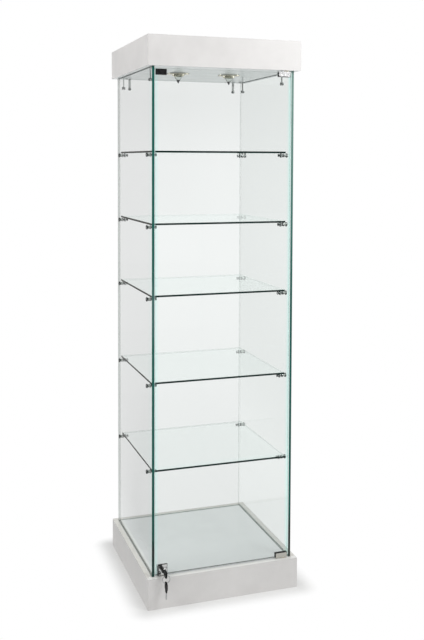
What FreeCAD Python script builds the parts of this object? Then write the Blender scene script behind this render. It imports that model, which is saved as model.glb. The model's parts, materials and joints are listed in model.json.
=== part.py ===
import FreeCAD, Part
import math
import os
from FreeCAD import Vector

# Tall square glass showcase. The origin is the middle of its footprint on the floor.
# X runs to the right, the door faces -Y and Z is up. Sizes are in millimetres.

# Plinth and canopy
case_width = 510.0
case_depth = 510.0
plinth_height = 98.0
canopy_height = 95.0
panel_board = 18.0
cover_board = 12.0
cover_clearance = 0.5
glue_block = 20.0

# Glass walls and the groove that they stand in
wall_inset = 17.0
wall_glass = 8.0
groove_depth = 6.0
channel_wall = 1.0
arris = 0.6

# Clear heights between the plinth, the shelves and the canopy
bottom_bay = 327.0
lower_bay = 272.0
upper_bay = 223.0
top_bay = 260.0

# Shelves
shelf_glass = 6.0
shelf_side_gap = 1.0
shelf_back_gap = 4.0
shelf_front_setback = 40.0
lowest_shelf_forward = 15.0

# Shelf studs, turned about an axis across the side glass
stud_front_inset = 57.0
stud_rear_inset = 32.0
spigot_radius = 3.0
collar_length = 4.0
collar_radius = 6.0
neck_length = 4.5
neck_radius = 3.4
seat_flange = 1.2
seat_flange_radius = 6.7
ring_width = 2.6
ring_inner_radius = 5.6
ring_outer_radius = 7.4
ring_squeeze = 0.4
tip_length = 3.5
tip_radius = 5.0
tip_round = 1.5
cap_thickness = 4.2
cap_radius = 7.0
cap_round = 2.0
cap_floor = 1.5
sleeve_flange = 0.5
sleeve_flange_radius = 6.4
sleeve_wall = 1.3
turned_clearance = 0.1

# Brackets between the ceiling board and the glass walls
bracket_width = 8.0
bracket_metal = 2.0
bracket_drop = 36.0
bracket_tab = 16.0
bracket_standoff = 4.0
back_bracket_inset = 33.0
side_bracket_rear_inset = 32.0
side_bracket_front_inset = 70.0
knob_radius = 5.0
knob_height = 4.0
knob_round = 1.2
knob_shank_radius = 2.0
bracket_screw_radius = 1.6
bracket_screw_head = 1.6
bracket_screw_head_radius = 3.2
bracket_screw_depth = 12.0

# Ceiling lights
lamp_spacing = 180.0
lamp_forward = 25.0
bezel_radius = 37.5
bezel_rim = 2.4
bezel_dish = 5.0
bezel_depth = 9.0
bezel_collar = 4.4
bezel_land = 3.0
can_radius = 33.0
can_wall = 1.5
can_height = 33.0
can_clearance = 1.0
holder_width = 22.0
holder_height = 18.0
capsule_radius = 5.0
capsule_length = 24.0
drop_top_radius = 14.0
drop_foot_radius = 6.8
drop_height = 12.0
drop_wall = 1.6
spike_height = 11.5
spike_end_radius = 0.8

# Transformer, lamp leads and the gland for a supply cord
transformer_length = 120.0
transformer_width = 52.0
transformer_height = 40.0
transformer_edge = 4.0
transformer_behind = 110.0
lead_radius = 1.6
lead_bend = 16.0
lead_exit_inset = 20.0
gland_bore_radius = 4.5
gland_wall = 2.5
gland_flange = 1.5
gland_flange_radius = 10.0
gland_side = 150.0

# Door and its pivot hinges
door_glass = 6.0
door_side_gap = 2.0
door_lift = 1.0
hinge_length = 39.0
hinge_height = 16.0
hinge_corner = 2.5
hinge_plate = 3.0
hinge_web = 2.0
hinge_edge_inset = 4.0
gasket = 0.5
gasket_lip = 1.5
pivot_inset = 16.0
pivot_radius = 3.0
pivot_length = 10.0
pivot_collar = 0.5
pivot_collar_radius = 4.5
running_clearance = 0.05
bush_wall = 2.0
bush_flange = 1.0
bush_flange_radius = 6.5
bush_floor = 1.0
clamp_screw_radius = 2.0
clamp_screw_spacing = 24.0
clamp_screw_proud = 0.4

# Blank plate at the door's upper corner
plate_width = 36.0
plate_height = 19.0
plate_thickness = 1.2
plate_side_inset = 1.0
plate_head_inset = 3.0

# Lock: a front plate and a case, clamped together through a notch in the door
lock_width = 30.0
lock_height = 37.0
lock_plate = 3.0
lock_plate_edge = 0.8
lock_case_height = 29.0
lock_edge_inset = 10.0
lock_floor_gap = 1.5
lock_wall = 2.0
lock_lap = 2.5
barrel_radius = 7.0
barrel_flange = 1.5
barrel_flange_radius = 9.0
barrel_nose = 8.0
barrel_nose_radius = 7.5
barrel_nose_edge = 0.6
barrel_tail = 2.0
plug_radius = 5.0
plug_head = 1.0
plug_head_radius = 6.0
keyway_width = 2.2
keyway_height = 8.6
keyway_floor = 1.0
cam_thickness = 2.5
cam_radius = 7.0
cam_gap = 0.3
crank_throw = 4.5
crank_pin_radius = 1.5
crank_rest_angle = 45.0
crank_slot_gap = 0.4
bolt_thickness = 3.0
bolt_above_crank = 4.5
bolt_recess = 0.5
bolt_gap = 0.3
lock_screw_radius = 1.5
lock_screw_head = 1.5
lock_screw_head_radius = 3.0
lock_screw_bite = 5.0
lock_boss_radius = 2.8
lock_boss_sink = 0.5
strike_thickness = 1.0
strike_margin = 4.0
strike_gap = 1.0
strike_depth = 7.0

# Keys and their ring
blade_clearance = 0.15
blade_tip_gap = 0.5
blade_notch = 1.5
blade_notches = 4
key_shoulder_gap = 0.3
bow_length = 33.0
bow_width = 24.0
bow_thickness = 3.6
bow_corner = 9.0
bow_edge_round = 0.8
bow_neck_length = 6.0
bow_neck_width = 12.0
tang_depth = 10.0
bow_hole_radius = 3.2
bow_hole_edge = 2.2
key_ring_radius = 12.0
key_ring_wire = 0.9
key_ring_gap = 0.45

# Faces and levels that the sizes above set
half_width = case_width / 2
half_depth = case_depth / 2
wall_x = half_width - wall_inset
wall_y = half_depth - wall_inset
inside_x = wall_x - wall_glass
inside_y = wall_y - wall_glass
bays = [bottom_bay, lower_bay, lower_bay, upper_bay, upper_bay]
shelf_undersides = [plinth_height + sum(bays[:i + 1]) + i * shelf_glass for i in range(len(bays))]
ceiling_z = shelf_undersides[-1] + shelf_glass + top_bay
ceiling_top = ceiling_z + panel_board
case_height = ceiling_z + canopy_height
wall_foot = plinth_height - groove_depth + channel_wall

# Studs: the shelf flattens the top of each rubber ring
seat_height = ring_outer_radius - ring_squeeze
spigot_bore = spigot_radius + turned_clearance
sleeve_radius = spigot_bore + sleeve_wall
stud_rows = (stud_front_inset - wall_y, wall_y - stud_rear_inset)
stud_spots = [
    (side, y, underside - seat_height)
    for underside in shelf_undersides for side in (-1, 1) for y in stud_rows
]

# Door faces, with room below and above the glass for the clamps and bushes
door_front = -wall_y
door_back = door_front + door_glass
door_half = inside_x - door_side_gap
web_foot = plinth_height + bush_flange + pivot_collar
web_head = ceiling_z - bush_flange - door_lift - pivot_collar
door_foot = web_foot + hinge_web + gasket
door_head = web_head - hinge_web - gasket
pivot_x = door_half - pivot_inset
pivot_y = (door_front + door_back) / 2
hinge_x = (door_half - hinge_edge_inset - hinge_length, door_half - hinge_edge_inset)
bush_radius = pivot_radius + running_clearance + bush_wall
bush_depth = pivot_length + 2 * bush_floor

# Lock, from its front face to its cover
lock_x = -(door_half - lock_edge_inset - lock_width / 2)
lock_foot = plinth_height + lock_floor_gap
lock_head = lock_foot + lock_height
case_head = lock_foot + lock_case_height
lock_z = (lock_foot + lock_head) / 2
plate_back = door_front - gasket
plate_front = plate_back - lock_plate
plug_seat = plate_front - barrel_flange - barrel_nose
plug_face = plug_seat - plug_head
case_front = door_back + gasket
barrel_end = case_front + lock_wall + barrel_tail
cam_front = barrel_end + cam_gap
cam_back = cam_front + cam_thickness
bolt_front = cam_back + bolt_gap
bolt_back = bolt_front + bolt_thickness
case_back = bolt_back + bolt_gap
boss_inset = lock_wall + lock_boss_radius - lock_boss_sink
lock_screw_x = lock_width / 2 - boss_inset
lock_screw_z = case_head - boss_inset - lock_z
bolt_width = 2 * (lock_screw_x - lock_boss_radius - bolt_gap)
crank_angle = math.radians(crank_rest_angle)
crank_z = lock_z + crank_throw * math.sin(crank_angle)
crank_x = lock_x + crank_throw * math.cos(crank_angle)

# Keys: the first is in the lock, and the spare hangs from it on the ring
bow_foot = plug_face - key_shoulder_gap
bow_end = bow_foot - bow_length
bow_hole_y = bow_end + bow_hole_edge + bow_hole_radius
wire_drop = bow_hole_radius - key_ring_wire - key_ring_gap
ring_z = lock_z - wire_drop - key_ring_radius
spare_hole_z = ring_z - key_ring_radius - wire_drop


# Directions, and the distance under which two places count as one
to_right = (1, 0, 0)
to_back = (0, 1, 0)
upward = (0, 0, 1)
downward = (0, 0, -1)
same_place = FreeCAD.Base.Precision.approximation()


def box(x, y, z):
    """Block between two values along each axis."""
    block = Part.makeBox(x[1] - x[0], y[1] - y[0], z[1] - z[0])
    block.translate(Vector(x[0], y[0], z[0]))
    return block


def about(middle, size):
    return (middle - size / 2, middle + size / 2)


def rod(radius, start, direction, length):
    return Part.makeCylinder(radius, length, Vector(*start), Vector(*direction))


def turned(profile, start, direction):
    """Lathe piece. The profile is (distance along the axis from start, radius)."""
    points = [Vector(0, 0, profile[0][0])]
    points += [Vector(radius, 0, along) for along, radius in profile]
    points.append(Vector(0, 0, profile[-1][0]))
    solid = polygon_face(points).revolve(Vector(0, 0, 0), Vector(0, 0, 1), 360)
    turn = FreeCAD.Rotation(Vector(0, 0, 1), Vector(*direction))
    solid.Placement = FreeCAD.Placement(Vector(*start), turn)
    return solid


def polygon_face(points):
    return Part.Face(Part.makePolygon(points + points[:1]))


def between(outer, inner):
    """Closed solid between two four-cornered faces."""
    faces = [polygon_face(outer), polygon_face(inner)]
    for i in range(len(outer)):
        j = (i + 1) % len(outer)
        faces.append(polygon_face([outer[i], outer[j], inner[j], inner[i]]))
    solid = Part.Solid(Part.Shell(faces))
    if solid.Volume < 0:
        solid.reverse()
    return solid


def edges_along(solid, direction):
    """Straight edges that run along an axis."""
    axis = Vector(*direction)
    straight = [e for e in solid.Edges if isinstance(e.Curve, Part.Line)]
    return [e for e in straight if e.tangentAt(e.FirstParameter).cross(axis).Length < same_place]


def rim(solid, start, direction, along):
    """Round edges that lie at a distance along an axis from start."""
    axis = Vector(*direction)
    level = axis.dot(Vector(*start)) + along
    rounds = [e for e in solid.Edges if isinstance(e.Curve, Part.Circle)]
    return [e for e in rounds if abs(e.Curve.Center.dot(axis) - level) < same_place]


def ground_pane(x, y, z):
    """Sheet of glass with every edge ground to a small arris."""
    pane = box(x, y, z)
    return pane.makeChamfer(arris, pane.Edges)


def overhead(solid):
    """Copy of a lower hinge piece, turned over to the top of the door."""
    return solid.mirror(Vector(0, 0, (web_foot + web_head) / 2), Vector(0, 0, 1))


def save(node, *solids):
    shape = solids[0] if len(solids) == 1 else Part.makeCompound(list(solids))
    shape.exportStep("parts/" + node + ".step")


def upright_face(start, end, low, high):
    return [Vector(*start, low), Vector(*end, low), Vector(*end, high), Vector(*start, high)]


def mitred_shell(open_z, closed_z):
    """Four panels and a board, mitred where they meet. The board closes the shell at closed_z."""
    inner_z = closed_z + math.copysign(panel_board, open_z - closed_z)
    corners = [(-1, -1), (1, -1), (1, 1), (-1, 1)]
    outer = [(x * half_width, y * half_depth) for x, y in corners]
    inner = [(x * (half_width - panel_board), y * (half_depth - panel_board)) for x, y in corners]
    panels = {}
    for i, name in enumerate(("front", "right", "back", "left")):
        j = (i + 1) % len(corners)
        outer_face = upright_face(outer[i], outer[j], open_z, closed_z)
        inner_face = upright_face(inner[i], inner[j], open_z, inner_z)
        panels[name] = between(outer_face, inner_face)
    board = between([Vector(*p, closed_z) for p in outer], [Vector(*p, inner_z) for p in inner])
    return panels, board


def corner_blocks(low, high):
    far_x = half_width - panel_board
    far_y = half_depth - panel_board
    blocks = []
    for x in (-far_x, far_x - glue_block):
        for y in (-far_y, far_y - glue_block):
            blocks.append(box((x, x + glue_block), (y, y + glue_block), (low, high)))
    return blocks


def wall_boxes(grow, low, high):
    """Footprints of the three glass walls between two levels, wider by grow on each face."""
    left = (-wall_x - grow, -inside_x + grow)
    right = (inside_x - grow, wall_x + grow)
    deep = (-wall_y, wall_y + grow)
    return [
        box(left, deep, (low, high)),
        box(right, deep, (low, high)),
        box((-inside_x, inside_x), (inside_y - grow, wall_y + grow), (low, high)),
    ]


def joined(solids):
    return solids[0].multiFuse(solids[1:]).removeSplitter()


def plinth():
    panels, deck = mitred_shell(0, plinth_height)
    groove = joined(wall_boxes(channel_wall, plinth_height - groove_depth, plinth_height))
    glass = joined(wall_boxes(0, wall_foot, plinth_height))
    bush_hole = rod(bush_radius + turned_clearance, (pivot_x, pivot_y, plinth_height), downward, bush_depth)
    strike, slot = strike_outline()
    deck = deck.cut(joined([groove, bush_hole])).cut(strike).cut(slot)
    panels["front"] = panels["front"].cut(bush_hole)
    for name, panel in panels.items():
        save("plinth_" + name + "_panel", panel)
    save("plinth_top_board", deck)
    save("glazing_channel", groove.cut(glass))
    far_x = half_width - panel_board
    far_y = half_depth - panel_board
    save("plinth_bottom_board", box((-far_x, far_x), (-far_y, far_y), (0, cover_board)))
    save("strike_plate", strike.cut(slot))
    return corner_blocks(cover_board, plinth_height - panel_board)


def strike_outline():
    """Recess for the strike plate, and the slot that the bolt drops into."""
    middle = (bolt_front + bolt_back) / 2
    slot_x = bolt_width + 2 * strike_gap
    slot_y = bolt_thickness + 2 * strike_gap
    slot = box(about(lock_x, slot_x), about(middle, slot_y), (plinth_height - strike_depth, plinth_height))
    plate_x = about(lock_x, slot_x + 2 * strike_margin)
    plate_y = about(middle, slot_y + 2 * strike_margin)
    return box(plate_x, plate_y, (plinth_height - strike_thickness, plinth_height)), slot


def walls():
    for name, side in (("left", -1), ("right", 1)):
        faces = sorted((side * wall_x, side * inside_x))
        pane = ground_pane(faces, (-wall_y, wall_y), (wall_foot, ceiling_z))
        hole_radius = sleeve_radius + turned_clearance
        for stud_side, y, z in stud_spots:
            if stud_side == side:
                pane = pane.cut(rod(hole_radius, (faces[0], y, z), to_right, wall_glass))
        save(name + "_glass_wall", pane)
    save("back_glass_wall", ground_pane((-inside_x, inside_x), (inside_y, wall_y), (wall_foot, ceiling_z)))


def shelves():
    reach = inside_x - shelf_side_gap
    for i, underside in enumerate(shelf_undersides):
        forward = lowest_shelf_forward if i == 0 else 0
        deep = (-wall_y + shelf_front_setback - forward, inside_y - shelf_back_gap - forward)
        pane = ground_pane((-reach, reach), deep, (underside, underside + shelf_glass))
        save("glass_shelf_" + str(i + 1), pane)


def stud_profile():
    """Spigot, collar, neck, grooved seat, neck and tip, from the glass's inner face."""
    reach = wall_glass + cap_thickness - cap_floor - turned_clearance
    steps = [
        (collar_length, collar_radius), (neck_length, neck_radius), (seat_flange, seat_flange_radius),
        (ring_width, ring_inner_radius), (seat_flange, seat_flange_radius), (neck_length, neck_radius),
        (tip_length, tip_radius),
    ]
    profile = [(-reach, spigot_radius), (sleeve_flange, spigot_radius)]
    along = sleeve_flange
    for length, radius in steps:
        profile += [(along, radius), (along + length, radius)]
        along += length
    return profile


def studs():
    profile = stud_profile()
    end = profile[-1][0]
    groove = sleeve_flange + collar_length + neck_length + seat_flange
    groups = {"shelf_studs": [], "stud_caps": [], "stud_sleeves": [], "stud_rings": []}
    for side, y, z in stud_spots:
        inward = (-side, 0, 0)
        outward = (side, 0, 0)
        face = (side * inside_x, y, z)
        outer_face = (side * wall_x, y, z)
        stud = turned(profile, face, inward)
        groups["shelf_studs"].append(stud.makeFillet(tip_round, rim(stud, face, inward, end)))
        cap = rod(cap_radius, outer_face, outward, cap_thickness)
        cap = cap.makeFillet(cap_round, rim(cap, outer_face, outward, cap_thickness))
        groups["stud_caps"].append(cap.cut(rod(spigot_bore, outer_face, outward, cap_thickness - cap_floor)))
        tube = [(-wall_glass, sleeve_radius), (0, sleeve_radius)]
        flange = [(0, sleeve_flange_radius), (sleeve_flange, sleeve_flange_radius)]
        sleeve = turned(tube + flange, face, inward)
        bore = rod(spigot_bore, outer_face, inward, wall_glass + sleeve_flange)
        groups["stud_sleeves"].append(sleeve.cut(bore))
        seat = (side * (inside_x - groove), y, z)
        ring = rod(ring_outer_radius, seat, inward, ring_width)
        ring = ring.cut(rod(ring_inner_radius, seat, inward, ring_width))
        ring_top = z + ring_outer_radius
        above = box(about(0, case_width), about(y, 2 * ring_outer_radius), (z + seat_height, ring_top))
        groups["stud_rings"].append(ring.cut(above))
    for node, solids in groups.items():
        save(node, *solids)


def bracket_spots():
    """Inner face of the wall and the turn that points a bracket inwards, for each bracket."""
    spots = [(x, inside_y, -90) for x in (-inside_x + back_bracket_inset, inside_x - back_bracket_inset)]
    for y in (-wall_y + side_bracket_front_inset, inside_y - side_bracket_rear_inset):
        spots += [(-inside_x, y, 0), (inside_x, y, 180)]
    return spots


def at_spot(solid, spot):
    """Place a piece made at the origin, with the glass at x = 0 and the case's inside at +X."""
    x, y, turn = spot
    placed = solid.copy()
    placed.Placement = FreeCAD.Placement(Vector(x, y, 0), FreeCAD.Rotation(Vector(0, 0, 1), turn))
    return placed


def brackets():
    """Brackets, knobs and screws. Returns the pilot holes that the screws need in the ceiling board."""
    eye_z = ceiling_z - bracket_drop
    strap_x = (bracket_standoff, bracket_standoff + bracket_metal)
    strap = box(strap_x, about(0, bracket_width), (eye_z, ceiling_z))
    eye = rod(bracket_width / 2, (strap_x[0], 0, eye_z), to_right, bracket_metal)
    tab_x = (bracket_standoff, bracket_standoff + bracket_tab)
    tab = box(tab_x, about(0, bracket_width), (ceiling_z - bracket_metal, ceiling_z))
    shank_hole = rod(knob_shank_radius + turned_clearance, (0, 0, eye_z), to_right, strap_x[1])
    screw_foot = (tab_x[1] - bracket_width / 2, 0, ceiling_z - bracket_metal)
    screw_length = bracket_metal + bracket_screw_depth
    screw_hole = rod(bracket_screw_radius + turned_clearance, screw_foot, upward, screw_length)
    bracket = joined([strap, eye, tab]).cut(shank_hole).cut(screw_hole)
    head_at = strap_x[1]
    knob_end = head_at + knob_height
    foot = (0, 0, eye_z)
    knob = turned([
        (0, knob_radius), (strap_x[0], knob_radius), (strap_x[0], knob_shank_radius),
        (head_at, knob_shank_radius), (head_at, knob_radius), (knob_end, knob_radius),
    ], foot, to_right)
    knob = knob.makeFillet(knob_round, rim(knob, foot, to_right, knob_end))
    head = rod(bracket_screw_head_radius, screw_foot, downward, bracket_screw_head)
    screw = joined([head, rod(bracket_screw_radius, screw_foot, upward, screw_length)])
    spots = bracket_spots()
    save("canopy_brackets", *[at_spot(bracket, spot) for spot in spots])
    save("bracket_knobs", *[at_spot(knob, spot) for spot in spots])
    save("bracket_screws", *[at_spot(screw, spot) for spot in spots])
    return [at_spot(screw_hole, spot) for spot in spots]


def canopy(pilot_holes):
    panels, ceiling = mitred_shell(case_height, ceiling_z)
    cutouts = [rod(can_radius + can_clearance, seat, upward, panel_board) for seat in lamp_seats()]
    bush_hole = rod(bush_radius + turned_clearance, (pivot_x, pivot_y, ceiling_z), upward, bush_depth)
    panels["front"] = panels["front"].cut(bush_hole)
    for hole in cutouts + pilot_holes + [bush_hole]:
        ceiling = ceiling.cut(hole)
    gland_hole = rod(gland_radius() + turned_clearance, gland_start(), to_back, panel_board)
    panels["back"] = panels["back"].cut(gland_hole)
    for name, panel in panels.items():
        save("canopy_" + name + "_panel", panel)
    save("canopy_ceiling_board", ceiling)
    far_x = half_width - panel_board - cover_clearance
    far_y = half_depth - panel_board - cover_clearance
    save("canopy_top_board", box((-far_x, far_x), (-far_y, far_y), (case_height - cover_board, case_height)))
    return corner_blocks(ceiling_top, case_height - cover_board)


def lamp_seats():
    return [(x, -lamp_forward, ceiling_z) for x in (-lamp_spacing / 2, lamp_spacing / 2)]


def lamps():
    groups = {name: [] for name in ("bezels", "cans", "holders", "capsules", "drops", "spikes")}
    can_top = ceiling_z + can_height
    mouth = drop_top_radius + turned_clearance
    dish_profile = [
        (0, bezel_radius), (bezel_rim, bezel_radius), (bezel_dish, mouth + bezel_land + bezel_collar),
        (bezel_depth, mouth + bezel_land),
    ]
    drop_end = bezel_depth + drop_height
    cone = [(0, drop_top_radius), (bezel_depth, drop_top_radius), (drop_end, drop_foot_radius)]
    hollow = [(along, radius - drop_wall) for along, radius in cone]
    spike_profile = [(drop_end, drop_foot_radius), (drop_end + spike_height, spike_end_radius)]
    for seat in lamp_seats():
        x, y = seat[:2]
        dish = turned(dish_profile, seat, downward)
        groups["bezels"].append(dish.cut(rod(mouth, seat, downward, bezel_depth)))
        can = rod(can_radius, seat, upward, can_height)
        can = can.cut(rod(can_radius - can_wall, seat, upward, can_height - can_wall))
        groups["cans"].append(can.cut(rod(capsule_radius + can_wall, seat, upward, can_height)))
        holder = box(about(x, holder_width), about(y, holder_width), (can_top, can_top + holder_height))
        groups["holders"].append(holder)
        socket = (x, y, can_top)
        capsule = rod(capsule_radius, socket, downward, capsule_length)
        low = rim(capsule, socket, downward, capsule_length)
        groups["capsules"].append(capsule.makeFillet(capsule_radius - turned_clearance, low))
        groups["drops"].append(turned(cone, seat, downward).cut(turned(hollow, seat, downward)))
        groups["spikes"].append(turned(spike_profile, seat, downward))
    for name, solids in groups.items():
        save("lamp_" + name, *solids)


def transformer():
    near = transformer_behind - transformer_width / 2
    body = box(about(0, transformer_length), about(transformer_behind, transformer_width),
               (ceiling_top, ceiling_top + transformer_height))
    body = body.makeChamfer(transformer_edge, edges_along(body, upward))
    save("transformer", body)
    lead_z = ceiling_z + can_height + holder_height / 2
    leads = []
    for seat in lamp_seats():
        lamp_x, lamp_y = seat[:2]
        side = math.copysign(1, lamp_x)
        exit_x = side * (transformer_length / 2 - lead_exit_inset)
        end_x = lamp_x - side * holder_width / 2
        start = Vector(exit_x, near, lead_z)
        bend_start = Vector(exit_x, lamp_y + lead_bend, lead_z)
        bend_end = Vector(exit_x + side * lead_bend, lamp_y, lead_z)
        inset = lead_bend * (1 - math.sqrt(0.5))
        bend_middle = Vector(exit_x + side * inset, lamp_y + inset, lead_z)
        path = Part.Wire([
            Part.LineSegment(start, bend_start).toShape(),
            Part.Arc(bend_start, bend_middle, bend_end).toShape(),
            Part.LineSegment(bend_end, Vector(end_x, lamp_y, lead_z)).toShape(),
        ])
        section = Part.Wire([Part.makeCircle(lead_radius, start, Vector(0, -1, 0))])
        leads.append(path.makePipeShell([section], True, False))
    save("lamp_leads", *leads)


def gland_radius():
    return gland_bore_radius + gland_wall


def gland_start():
    return (gland_side, half_depth - panel_board, ceiling_z + canopy_height / 2)


def gland():
    tube = [(0, gland_radius()), (panel_board, gland_radius())]
    flange = [(panel_board, gland_flange_radius), (panel_board + gland_flange, gland_flange_radius)]
    body = turned(tube + flange, gland_start(), to_back)
    bore = rod(gland_bore_radius, gland_start(), to_back, panel_board + gland_flange)
    save("supply_gland", body.cut(bore))


def door():
    pane = ground_pane((-door_half, door_half), (door_front, door_back), (door_foot, door_head))
    save("door_glass", pane.cut(lock_notch(door_front, door_back)))
    plate_x = -door_half + plate_side_inset
    plate_z = door_head - plate_head_inset
    plate = box((plate_x, plate_x + plate_width), (door_front - plate_thickness, door_front),
                (plate_z - plate_height, plate_z))
    save("blank_plate", plate)


def lock_notch(front, back):
    """Opening in the door's lower edge, covered by the lock's plate and case."""
    return box(about(lock_x, lock_width - 2 * lock_lap), (front, back), (lock_foot, case_head - lock_lap))


def hinges():
    front = door_front - gasket
    back = door_back + gasket
    clamp_head = web_foot + hinge_height
    clamp = box(hinge_x, (front - hinge_plate, back + hinge_plate), (web_foot, clamp_head))
    upper = [e for e in edges_along(clamp, to_back) if e.CenterOfMass.z > door_foot]
    clamp = clamp.makeFillet(hinge_corner, upper)
    clamp = clamp.cut(box(hinge_x, (front, back), (web_foot + hinge_web, clamp_head)))
    pivot_foot = (pivot_x, pivot_y, web_foot)
    clamp = clamp.cut(rod(pivot_radius + running_clearance, pivot_foot, upward, hinge_web))
    middle = sum(hinge_x) / 2
    screws = []
    for x in about(middle, clamp_screw_spacing):
        screw_start = (x, back, (door_foot + clamp_head) / 2)
        clamp = clamp.cut(rod(clamp_screw_radius + turned_clearance, screw_start, to_back, hinge_plate))
        screws.append(rod(clamp_screw_radius, screw_start, to_back, hinge_plate + clamp_screw_proud))
    liner_x = (hinge_x[0] - gasket_lip, hinge_x[1] + gasket_lip)
    liner_z = (web_foot + hinge_web, clamp_head + gasket_lip)
    liner = box(liner_x, (front, back), liner_z)
    liner = liner.cut(box(liner_x, (door_front, door_back), (door_foot, liner_z[1])))
    pin_start = -pivot_collar - pivot_length
    pin = turned([
        (pin_start, pivot_radius), (-pivot_collar, pivot_radius), (-pivot_collar, pivot_collar_radius),
        (0, pivot_collar_radius), (0, pivot_radius), (hinge_web, pivot_radius),
    ], pivot_foot, upward)
    save("lower_hinge_clamp", clamp)
    save("upper_hinge_clamp", overhead(clamp))
    save("pivot_pins", pin, overhead(pin))
    save("hinge_screws", *screws, *[overhead(screw) for screw in screws])
    laps = [((door_front - gasket, door_front), lock_head), ((door_back, door_back + gasket), case_head)]
    lock_pads = [
        box(about(lock_x, lock_width), y, (door_foot, head)).cut(lock_notch(*y)) for y, head in laps
    ]
    save("door_gaskets", liner, overhead(liner), *lock_pads)
    bush = turned([
        (-bush_depth, bush_radius), (0, bush_radius), (0, bush_flange_radius),
        (bush_flange, bush_flange_radius),
    ], (pivot_x, pivot_y, plinth_height), upward)
    bore_head = (pivot_x, pivot_y, plinth_height + bush_flange)
    bore_depth = bush_flange + bush_depth - bush_floor
    bush = bush.cut(rod(pivot_radius + running_clearance, bore_head, downward, bore_depth))
    save("pivot_bushes", bush, bush.mirror(Vector(0, 0, (plinth_height + ceiling_z) / 2), Vector(*upward)))


def lock_fixings():
    """Centres of the two screws that pull the plate and the case together."""
    return [(lock_x + side * lock_screw_x, lock_z + side * lock_screw_z) for side in (-1, 1)]


def lock():
    across = about(lock_x, lock_width)
    up = (lock_foot, case_head)
    middle = (lock_x, plate_front, lock_z)
    plate = box(across, (plate_front, plate_back), (lock_foot, lock_head))
    front_edges = [e for e in plate.Edges if abs(e.CenterOfMass.y - plate_front) < same_place]
    plate = plate.makeChamfer(lock_plate_edge, front_edges)
    plate = plate.cut(rod(barrel_radius + running_clearance, middle, to_back, lock_plate))
    case = box(across, (case_front, case_back), up)
    inner_x = (across[0] + lock_wall, across[1] - lock_wall)
    inner_z = (up[0] + lock_wall, up[1] - lock_wall)
    case = case.cut(box(inner_x, (case_front + lock_wall, case_back), inner_z))
    barrel_hole = rod(barrel_radius + running_clearance, (lock_x, case_front, lock_z), to_back, lock_wall)
    case = case.cut(barrel_hole)
    boss_front = case_front + lock_wall
    shank = boss_front + lock_screw_bite - plate_front
    outline = [(0, lock_screw_head_radius), (lock_screw_head, lock_screw_radius), (shank, lock_screw_radius)]
    clear_outline = [(along, radius + turned_clearance) for along, radius in outline]
    screws = []
    for x, z in lock_fixings():
        case = case.fuse(rod(lock_boss_radius, (x, boss_front, z), to_back, case_back - boss_front))
        hole = turned(clear_outline, (x, plate_front, z), to_back)
        plate = plate.cut(hole)
        case = case.cut(hole)
        screws.append(turned(outline, (x, plate_front, z), to_back))
    slot_y = (bolt_front - bolt_gap, case_back)
    case = case.cut(box(about(lock_x, bolt_width + 2 * bolt_gap), slot_y, (lock_foot, lock_foot + lock_wall)))
    save("lock_front_plate", plate)
    save("lock_case", case.removeSplitter())
    save("lock_case_cover", box(across, (case_back, case_back + lock_wall), up))
    save("lock_screws", *screws)
    nose_end = plug_seat - plate_front
    nose = [
        (nose_end, barrel_nose_radius - barrel_nose_edge), (nose_end + barrel_nose_edge, barrel_nose_radius),
        (-barrel_flange, barrel_nose_radius),
    ]
    flange = [(-barrel_flange, barrel_flange_radius), (0, barrel_flange_radius)]
    tube = [(0, barrel_radius), (barrel_end - plate_front, barrel_radius)]
    barrel = turned(nose + flange + tube, middle, to_back)
    bore_start = (lock_x, plug_seat, lock_z)
    bore = rod(plug_radius + running_clearance, bore_start, to_back, barrel_end - plug_seat)
    save("lock_barrel", barrel.cut(bore))


def plug_and_bolt():
    seat = (lock_x, plug_seat, lock_z)
    plug = turned([
        (-plug_head, plug_head_radius), (0, plug_head_radius), (0, plug_radius),
        (cam_front - plug_seat, plug_radius),
    ], seat, to_back)
    keyway_y = (plug_face, cam_front - keyway_floor)
    keyway = box(about(lock_x, keyway_width), keyway_y, about(lock_z, keyway_height))
    save("lock_plug", plug.cut(keyway))
    disc = rod(cam_radius, (lock_x, cam_front, lock_z), to_back, cam_thickness)
    pin = rod(crank_pin_radius, (crank_x, cam_front, crank_z), to_back, bolt_back - cam_front)
    save("lock_cam", joined([disc, pin]))
    deep = (bolt_front, bolt_back)
    bolt = box(about(lock_x, bolt_width), deep, (lock_foot + bolt_recess, crank_z + bolt_above_crank))
    reach = crank_pin_radius + crank_slot_gap
    slot_x = (crank_x - reach, lock_x + crank_throw + reach)
    save("lock_bolt", bolt.cut(box(slot_x, deep, (crank_z - reach, crank_z + reach))))


def key_blade():
    """Flat blade with its notches along the lower edge, and the tang that the bow is moulded on."""
    half = keyway_height / 2 - blade_clearance
    tip = cam_front - keyway_floor - blade_tip_gap
    outline = [(bow_foot - tang_depth, -half), (bow_foot - tang_depth, half), (tip - half, half), (tip, 0)]
    pitch = (tip - half - bow_foot) / (blade_notches + 1)
    first = tip - half - pitch / 2
    outline += [(tip - half, -half), (first, -half)]
    for i in range(blade_notches):
        valley = first - pitch * (i + 0.5)
        outline += [(valley, blade_notch - half), (valley - pitch / 2, -half)]
    flat = keyway_width - 2 * blade_clearance
    face = polygon_face([Vector(lock_x - flat / 2, y, lock_z + z) for y, z in outline])
    return face.extrude(Vector(flat, 0, 0))


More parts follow.
